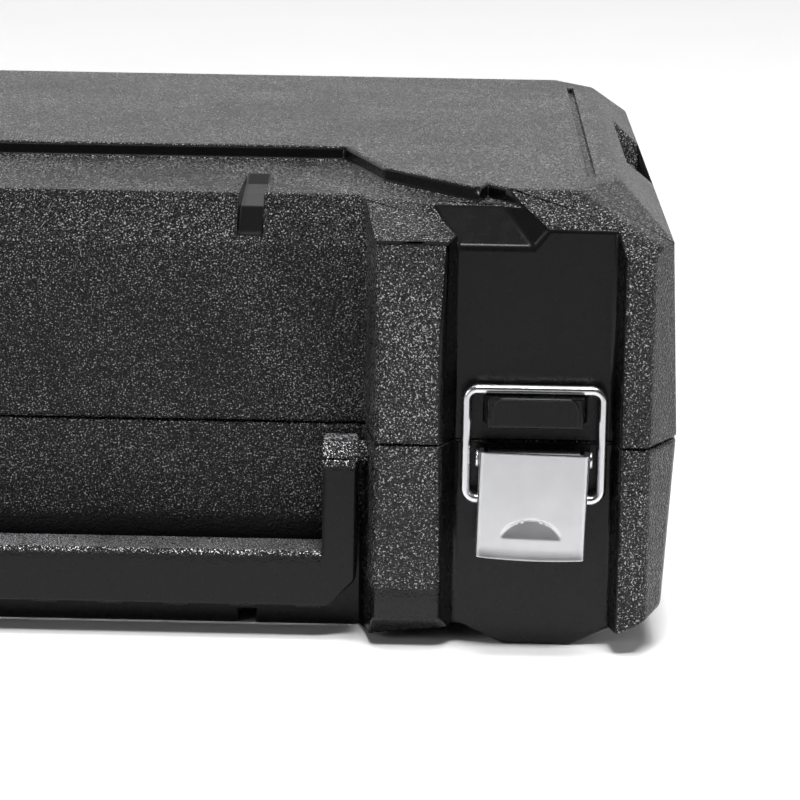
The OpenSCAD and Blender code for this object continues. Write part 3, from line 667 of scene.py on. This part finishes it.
def grip_piece():
    """The ratchet's soft grip, waisted, with a ribbed middle."""
    low_corner, high_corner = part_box("ratchet_grip")
    centre_y = 0.5 * (low_corner.y + high_corner.y)
    centre_z = 0.5 * (low_corner.z + high_corner.z)
    length = high_corner.x - low_corner.x
    big = 0.5 * (high_corner.y - low_corner.y)
    rows = []
    steps = 150
    for i in range(steps + 1):
        t = i / steps
        waist = 0.5 + 0.5 * math.cos(2 * math.pi * min(1.0, max(0.0, (t - 0.1) / 0.78)))
        radius = big * (0.87 + 0.13 * waist)
        if 0.22 < t < 0.78:
            radius -= 0.45 * MM * max(0.0, math.sin(2 * math.pi * (t - 0.22) * 14 / 0.56))
        end = min(t, 1 - t) * length
        if end < 3 * MM:
            radius -= 3 * MM * (1 - math.sqrt(max(0.0, 1 - (1 - end / (3 * MM)) ** 2)))
        row = []
        for k in range(49):
            turn = 2 * math.pi * (k % 48) / 48
            row.append(Vector((low_corner.x + t * length, centre_y + radius * math.cos(turn),
                               centre_z + radius * math.sin(turn))))
        rows.append(row)
    bm = bmesh.new()
    ends = grid(bm, rows)
    bm.faces.new(ends[0][:-1])
    bm.faces.new(ends[-1][:-1])
    bmesh.ops.remove_doubles(bm, verts=bm.verts, dist=0.002 * MM)
    bmesh.ops.recalc_face_normals(bm, faces=bm.faces)
    new_piece("ratchet_grip_ribbed", bm, [RUBBER], "case", "grip_rubber", "ratchet_grip")


grip_piece()


def tray_radius(edge, radius):
    """Rounds a moulding's longer outer edges; the corners of its pockets stay sharp."""
    return radius if edge.is_convex and edge.calc_length() > 4 * MM else 0.0


for tray_node in [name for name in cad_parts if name.startswith("tray_")]:
    if tray_node != "tray_dividers":
        moulded(tray_node, f"{tray_node}_moulded", [TRAY], "case", "tray_plastic",
                lambda edge: tray_radius(edge, 0.8), widest=1.0)
moulded("lid_liner", "lid_liner_moulded", [TRAY], "lid", "tray_plastic",
        lambda edge: tray_radius(edge, 1.2), widest=1.5)


# ---------------------------------------------------------------- finishes of the CAD nodes

FINISH_OF_NODE = {
    "hinge_pins": WIRE, "ratchet_grip": RUBBER, "plug_socket_insert": RUBBER,
    "ratchet_lever": SMOOTH, "ratchet_gear": STEEL, "ratchet_pawl": STEEL,
    "ratchet_cover_screws": STEEL, "ratchet_ball": STEEL, "extension_balls": STEEL,
    "t_bar_ball": STEEL, "t_bar": CHROME, "latch_left_lever": ZINC, "latch_right_lever": ZINC,
}
FINISH_OF_FAMILY = {
    "tray_": TRAY, "lid_liner": TRAY, "latch_": WIRE, "socket_": CHROME, "deep_socket_": CHROME,
    "extension_": CHROME, "t_bar_slider": CHROME, "plug_socket": CHROME,
    "drive_adapter": CHROME, "ratchet_handle": CHROME, "ratchet_cover": CHROME,
    "ratchet_button": CHROME,
}

for node_name, node_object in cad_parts.items():
    of_family = (finish for family, finish in FINISH_OF_FAMILY.items()
                 if node_name.startswith(family))
    node_finish = FINISH_OF_NODE.get(node_name) or next(of_family, None)
    if node_finish:
        node_object.data.materials.clear()
        node_object.data.materials.append(node_finish)


# ---------------------------------------------------------------- stage

def add_floor():
    """A pale table that runs out of the picture."""
    bpy.ops.mesh.primitive_plane_add(size=12, location=(0, 1.5, 0))
    floor = bpy.context.object
    floor.name = "floor"
    floor.data.materials.append(floor_material())


def add_light(name, place, aim, size, power, glossy=True, spread=180):
    """A rectangular lamp that points at a place and is never seen itself."""
    light = bpy.data.lights.new(name, "AREA")
    light.shape = "RECTANGLE"
    light.size, light.size_y = size
    light.energy = power
    light.spread = math.radians(spread)
    lamp = bpy.data.objects.new(name, light)
    lamp.location = place
    lamp.rotation_euler = (Vector(aim) - Vector(place)).to_track_quat("-Z", "Y").to_euler()
    lamp.visible_glossy = glossy
    lamp.visible_camera = False
    scene.collection.objects.link(lamp)


def add_world():
    """A bright horizon behind the object, a grey one in front and a dark sky overhead."""
    world = bpy.data.worlds.new("studio")
    scene.world = world
    world.use_nodes = True
    tree = world.node_tree
    background = tree.nodes["Background"]
    place = tree.nodes.new("ShaderNodeTexCoord")
    split = tree.nodes.new("ShaderNodeSeparateXYZ")
    tree.links.new(place.outputs["Generated"], split.inputs[0])

    def ramp(axis, start, first, end, second):
        node = tree.nodes.new("ShaderNodeMapRange")
        node.inputs["From Min"].default_value = start
        node.inputs["From Max"].default_value = end
        node.inputs["To Min"].default_value = first
        node.inputs["To Max"].default_value = second
        tree.links.new(split.outputs[axis], node.inputs["Value"])
        return node.outputs["Result"]

    product = tree.nodes.new("ShaderNodeMath")
    product.operation = "MULTIPLY"
    tree.links.new(ramp("Z", 0.5, 0.64, 0.7, 0.16), product.inputs[0])
    tree.links.new(ramp("Y", -0.1, 0.06, 0.3, 1.0), product.inputs[1])
    tree.links.new(product.outputs[0], background.inputs["Strength"])
    background.inputs["Color"].default_value = (1.0, 1.0, 1.0, 1.0)


def add_camera():
    """A long lens, from the handle side and slightly above, on the right end of the front."""
    target = Vector((99.6 * MM, FRONT, SEAM + 11.6 * MM))
    pitch, yaw, roll = (math.radians(a) for a in (12.5, -1.0, 0.9))
    distance = 800 * MM
    forward = Vector((math.sin(yaw) * math.cos(pitch), math.cos(yaw) * math.cos(pitch),
                      -math.sin(pitch)))
    camera = bpy.data.objects.new("camera", bpy.data.cameras.new("camera"))
    camera.data.lens = 144
    camera.data.sensor_width = 36
    camera.data.clip_start = 0.05
    turn = forward.to_track_quat("-Z", "Y").to_matrix().to_4x4()
    camera.matrix_world = (Matrix.Translation(target - forward * distance) @ turn
                           @ Matrix.Rotation(roll, 4, "Z"))
    scene.collection.objects.link(camera)
    scene.camera = camera


add_floor()
add_world()
add_camera()
add_light("table_light", (0, 1.02, 0.5), (0, 1.02, 0), (3.4, 2.6), 20, glossy=False, spread=22)
add_light("front_box", (0.3, -0.75, 1.6), (0.1, -0.1, 0.06), (0.8, 0.3), 24)
add_light("left_box", (-1.0, -1.1, 0.6), (0.1, -0.1, 0.06), (0.5, 0.5), 4)
add_light("right_box", (1.5, 0.2, 0.5), (0.15, 0, 0.06), (1.0, 0.8), 3)

scene.view_settings.view_transform = "Standard"
scene.view_settings.look = "None"
